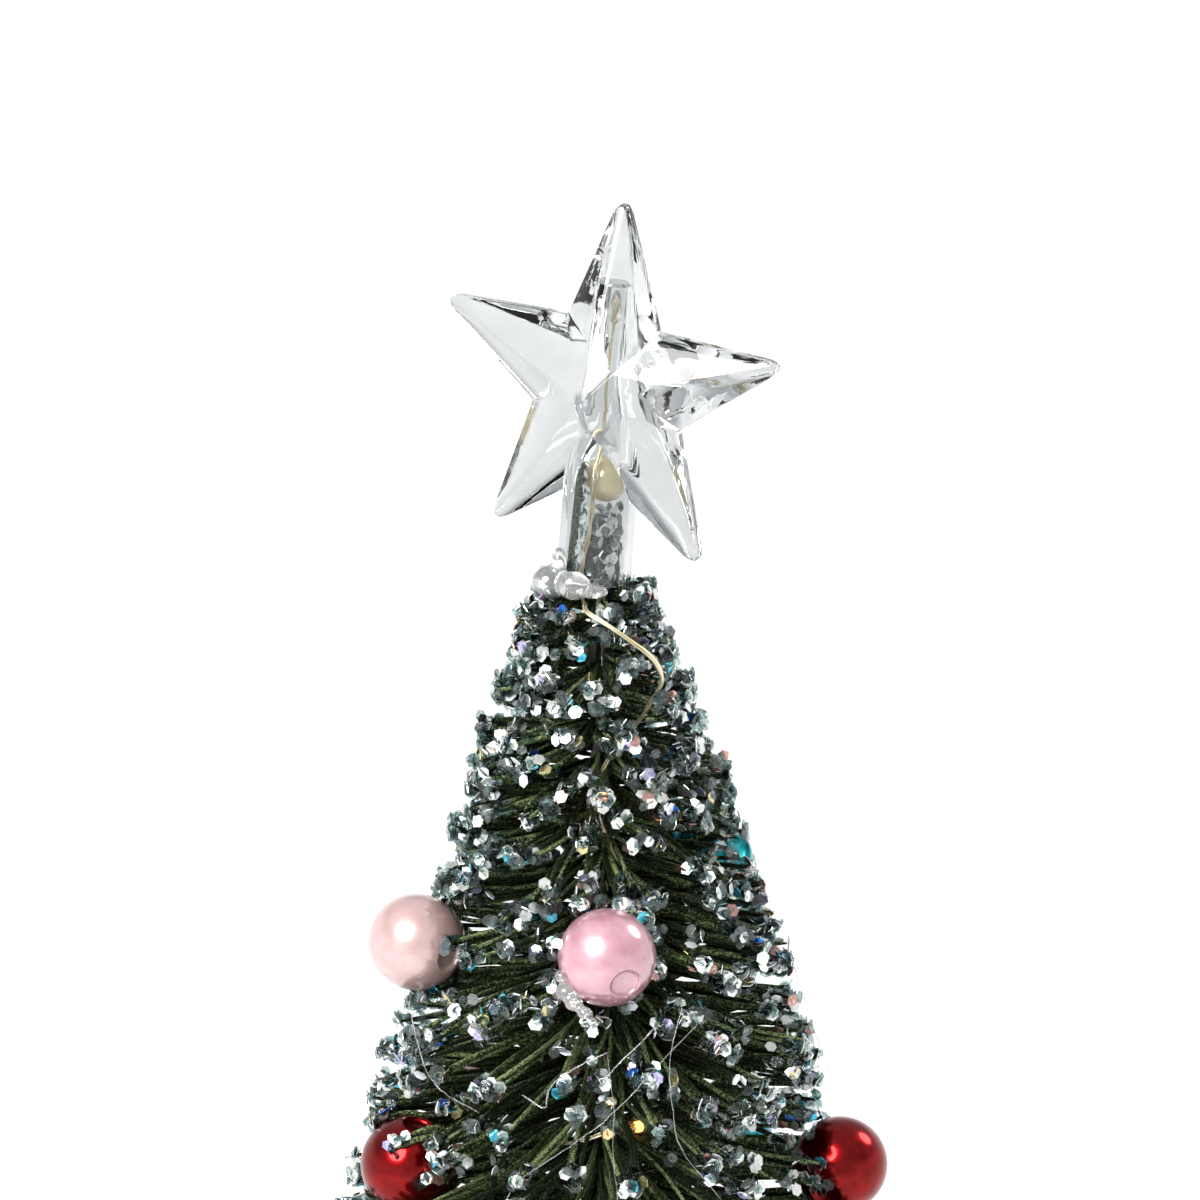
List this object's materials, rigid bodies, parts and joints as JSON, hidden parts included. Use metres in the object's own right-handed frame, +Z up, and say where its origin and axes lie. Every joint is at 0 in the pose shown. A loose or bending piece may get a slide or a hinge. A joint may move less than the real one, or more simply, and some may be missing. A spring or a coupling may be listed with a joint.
{
  "type": "artificial tabletop tree",
  "caption": "Bottle-brush tabletop tree on a turned wooden base, with a clear star on a hollow stem, drilled beads, a string of small lights, a cell tray with a hinged door and a slide switch.",
  "frame": {"origin": "middle of the footprint, on the surface that the feet stand on", "axes": "+Z up along the core, -Y the front that carries the star's wire loop, +Y the side with the switch"},
  "size_m": [0.1158, 0.1158, 0.2815],
  "materials": {
    "clear_plastic": "gloss",
    "cream_pearl": "satin",
    "hot_glue": "gloss",
    "core_steel": "satin",
    "green_bristle": "matte",
    "champagne_wire": "gloss",
    "light_resin": "gloss",
    "pink_pearl": "satin",
    "peach_pearl": "satin",
    "red_bead": "gloss",
    "teal_bead": "gloss",
    "stained_wood": "satin",
    "turned_wood": "satin",
    "black_plastic": "matte",
    "screw_steel": "satin",
    "cell_sleeve": "gloss",
    "nickel": "polished",
    "white_plastic": "satin",
    "board_green": "satin",
    "resistor_tan": "satin",
    "red_lead": "satin",
    "black_lead": "satin",
    "foot_rubber": "matte"
  },
  "bodies": {
    "root": {"battery_1": "cell_sleeve", "battery_2": "cell_sleeve", "battery_tray": "black_plastic", "black_lead": "black_lead", "bristle_brush": "green_bristle", "circuit_board": "board_green", "contact_bridge": "nickel", "contact_plate": "nickel", "contact_spring": "nickel", "core_wire_a": "core_steel", "core_wire_b": "core_steel", "cream_pearl": "cream_pearl", "foot_1": "foot_rubber", "foot_2": "foot_rubber", "foot_3": "foot_rubber", "foot_4": "foot_rubber", "led_wire": "champagne_wire", "light_drop_1": "light_resin", "light_drop_2": "light_resin", "light_drop_3": "light_resin", "light_drop_4": "light_resin", "light_drop_5": "light_resin", "light_drop_6": "light_resin", "peach_pearl_1": "peach_pearl", "peach_pearl_2": "peach_pearl", "peach_pearl_3": "peach_pearl", "peach_pearl_4": "peach_pearl", "peach_pearl_5": "peach_pearl", "peach_pearl_6": "peach_pearl", "pink_pearl_1": "pink_pearl", "pink_pearl_2": "pink_pearl", "pink_pearl_3": "pink_pearl", "pink_pearl_4": "pink_pearl", "pink_pearl_5": "pink_pearl", "red_bead_1": "red_bead", "red_bead_2": "red_bead", "red_bead_3": "red_bead", "red_bead_4": "red_bead", "red_bead_5": "red_bead", "red_lead": "red_lead", "series_resistor": "resistor_tan", "star_glue_bead": "hot_glue", "star_topper": "clear_plastic", "switch_bezel": "black_plastic", "switch_body": "nickel", "teal_bead_1": "teal_bead", "teal_bead_2": "teal_bead", "teal_bead_3": "teal_bead", "teal_bead_4": "teal_bead", "teal_bead_5": "teal_bead", "tray_screw_1": "screw_steel", "tray_screw_2": "screw_steel", "tray_screw_3": "screw_steel", "trunk_sleeve": "stained_wood", "wooden_base": "turned_wood"},
    "battery_door": {"battery_door": "black_plastic"},
    "switch_slider": {"switch_slider": "white_plastic"}
  },
  "joints": [
    {"name": "battery_door_hinge", "type": "hinge", "parent": "root", "child": "battery_door", "pos_m": [0, -0.0107, 0.0036], "axis": [-1, 0, 0], "range_deg": [0, 90]},
    {"name": "switch_slide", "type": "slide", "parent": "root", "child": "switch_slider", "axis": [1, 0, 0], "range_m": [0, 0.003]}
  ]
}
